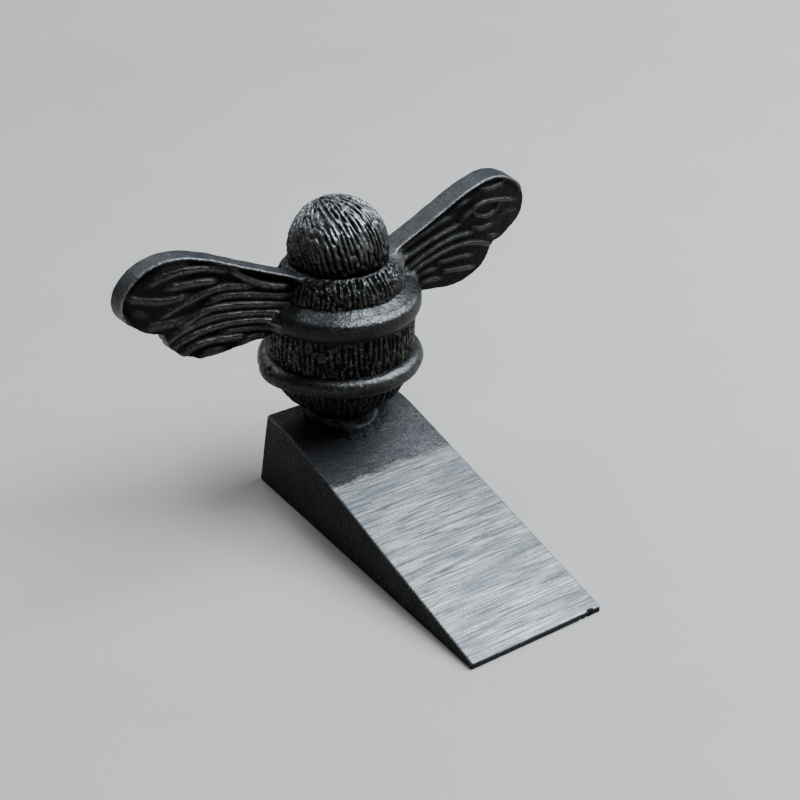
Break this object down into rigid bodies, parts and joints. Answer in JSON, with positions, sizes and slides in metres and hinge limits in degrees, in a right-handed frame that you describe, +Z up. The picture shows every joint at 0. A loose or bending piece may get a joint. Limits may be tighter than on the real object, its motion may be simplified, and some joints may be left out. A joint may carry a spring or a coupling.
{
  "type": "door stop",
  "caption": "Cast-iron wedge door stop with an upright bee figure on its thick end: ball head, ringed body and spread ribbed wings above a ground ramp.",
  "frame": {"origin": "middle of the wedge's flat sole, on the floor", "axes": "+Z up from the floor, +Y from the toe towards the heel, X across the wedge and along the wings"},
  "size_m": [0.128, 0.1141, 0.0876],
  "materials": {
    "wedge": "blackened sides and heel, ramp ground bright across its width",
    "foot_collar": "as cast, blackened",
    "tail": "blackened, cast fur texture",
    "lower_band": "blackened, smooth satin",
    "abdomen": "blackened, cast fur texture",
    "upper_band": "blackened, smooth satin",
    "thorax": "blackened, cast fur texture",
    "head": "blackened, cast fur texture",
    "left_wing": "blackened, raised ribs, satin rim",
    "right_wing": "blackened, raised ribs, satin rim",
    "tie_rod": "zinc plated",
    "base_washer": "zinc plated",
    "base_nut": "zinc plated"
  },
  "bodies": {
    "root": {"wedge": "wedge", "foot_collar": "foot_collar", "tail": "tail", "lower_band": "lower_band", "abdomen": "abdomen", "upper_band": "upper_band", "thorax": "thorax", "head": "head", "left_wing": "left_wing", "right_wing": "right_wing", "tie_rod": "tie_rod", "base_washer": "base_washer", "base_nut": "base_nut"}
  },
  "joints": []
}
